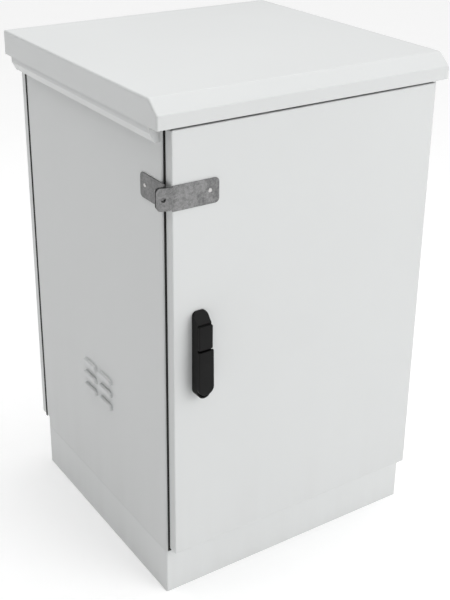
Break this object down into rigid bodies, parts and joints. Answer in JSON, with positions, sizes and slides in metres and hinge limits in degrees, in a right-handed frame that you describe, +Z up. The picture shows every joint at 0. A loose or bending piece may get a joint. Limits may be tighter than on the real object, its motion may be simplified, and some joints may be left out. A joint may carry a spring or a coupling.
{
  "type": "roadside utility cabinet",
  "caption": "Free-standing sheet metal street cabinet on a plinth, with an overhanging rain roof, louvred sides, a hinged door with a swing handle lock and a padlock hasp.",
  "frame": {"origin": "middle of the plinth's underside, the centre of the four anchor holes", "axes": "+Z up, -Y out of the door, +X to the right as the door is faced, where the door hinges are"},
  "size_m": [0.646, 0.6495, 1.018],
  "materials": {
    "cabinet_paint": "light grey powder coat, slightly textured, low sheen",
    "inner_paint": "light grey powder coat on inner sheet parts",
    "plinth_paint": "light grey powder coat",
    "galvanised": "hot dip galvanised sheet, mottled",
    "zinc": "zinc plated steel fixings",
    "handle_plastic": "black glass filled nylon, fine grain",
    "lock_metal": "turned steel",
    "cast_zinc": "die cast, satin",
    "seal_rubber": "foamed rubber strip",
    "gland_plastic": "dark moulded plastic",
    "guide_plastic": "natural moulded plastic",
    "filter_foam": "open cell foam mat",
    "brass": "plain brass"
  },
  "bodies": {
    "cabinet": {"plinth": "plinth_paint", "base_tray": "inner_paint", "top_tray": "inner_paint", "side_panel_left": "cabinet_paint", "side_panel_right": "cabinet_paint", "front_head_rail": "cabinet_paint", "front_sill_rail": "cabinet_paint", "rear_head_rail": "cabinet_paint", "rear_sill_rail": "cabinet_paint", "roof_cap": "cabinet_paint", "roof_channel_front": "inner_paint", "roof_channel_rear": "inner_paint", "roof_bolts": "zinc", "drip_skirt_left": "cabinet_paint", "drip_skirt_right": "cabinet_paint", "rear_panel": "cabinet_paint", "rear_seal": "seal_rubber", "rear_panel_nuts": "zinc", "hinge_frame_leaf_upper": "zinc", "hinge_frame_leaf_lower": "zinc", "hinge_pins": "lock_metal", "hasp_side_plate": "galvanised", "hasp_side_rivets": "zinc", "cross_rail_upper_left": "inner_paint", "cross_rail_upper_right": "inner_paint", "cross_rail_lower_left": "inner_paint", "cross_rail_lower_right": "inner_paint", "rack_rail_left": "zinc", "rack_rail_right": "zinc", "vent_filter_left": "filter_foam", "vent_filter_right": "filter_foam", "gland_plate": "galvanised", "cable_glands": "gland_plastic", "earth_stud": "brass", "plinth_bolts": "zinc"},
    "door": {"door_panel": "cabinet_paint", "door_seal": "seal_rubber", "door_stiffener": "inner_paint", "hinge_door_leaf_upper": "zinc", "hinge_door_leaf_lower": "zinc", "handle_dish": "handle_plastic", "lock_cylinder": "lock_metal", "gearbox_housing": "cast_zinc", "gearbox_cover": "zinc", "rod_guide_upper": "guide_plastic", "rod_guide_lower": "guide_plastic", "hasp_front_plate": "galvanised", "hasp_front_rivet": "zinc"},
    "handle": {"handle_hub": "cast_zinc", "rod_pinion": "lock_metal", "latch_tongue": "zinc", "tongue_screw": "zinc"},
    "lever": {"handle_lever": "handle_plastic", "lever_pin": "lock_metal"},
    "upper_rod": {"rod_upper": "zinc"},
    "lower_rod": {"rod_lower": "zinc"},
    "cover": {"lock_cover": "handle_plastic"},
    "plug": {"cylinder_plug": "lock_metal"}
  },
  "joints": [
    {"name": "door_hinge", "type": "hinge", "parent": "cabinet", "child": "door", "pos_m": [0.2865, -0.2845, 0.535], "axis": [0, 0, 1], "range_deg": [0, 110]},
    {"name": "handle_turn", "type": "hinge", "parent": "door", "child": "handle", "pos_m": [-0.241, -0.29, 0.466], "axis": [0, 1, 0], "range_deg": [0, 90]},
    {"name": "lever_lift", "type": "hinge", "parent": "handle", "child": "lever", "pos_m": [-0.241, -0.31, 0.466], "axis": [1, 0, 0], "range_deg": [0, 30]},
    {"name": "upper_rod_slide", "type": "slide", "parent": "door", "child": "upper_rod", "axis": [0, 0, 1], "range_m": [0, 0.01767]},
    {"name": "lower_rod_slide", "type": "slide", "parent": "door", "child": "lower_rod", "axis": [0, 0, -1], "range_m": [0, 0.018]},
    {"name": "cover_turn", "type": "hinge", "parent": "door", "child": "cover", "pos_m": [-0.241, -0.315, 0.592], "axis": [0, 1, 0], "range_deg": [0, 110]},
    {"name": "key_turn", "type": "hinge", "parent": "door", "child": "plug", "pos_m": [-0.241, -0.3, 0.57], "axis": [0, 1, 0], "range_deg": [0, 90]}
  ],
  "couplings": [
    {"joint": "handle_turn", "follows": "upper_rod_slide", "rad_per_m": 88.889},
    {"joint": "lower_rod_slide", "follows": "upper_rod_slide", "ratio": 1}
  ]
}
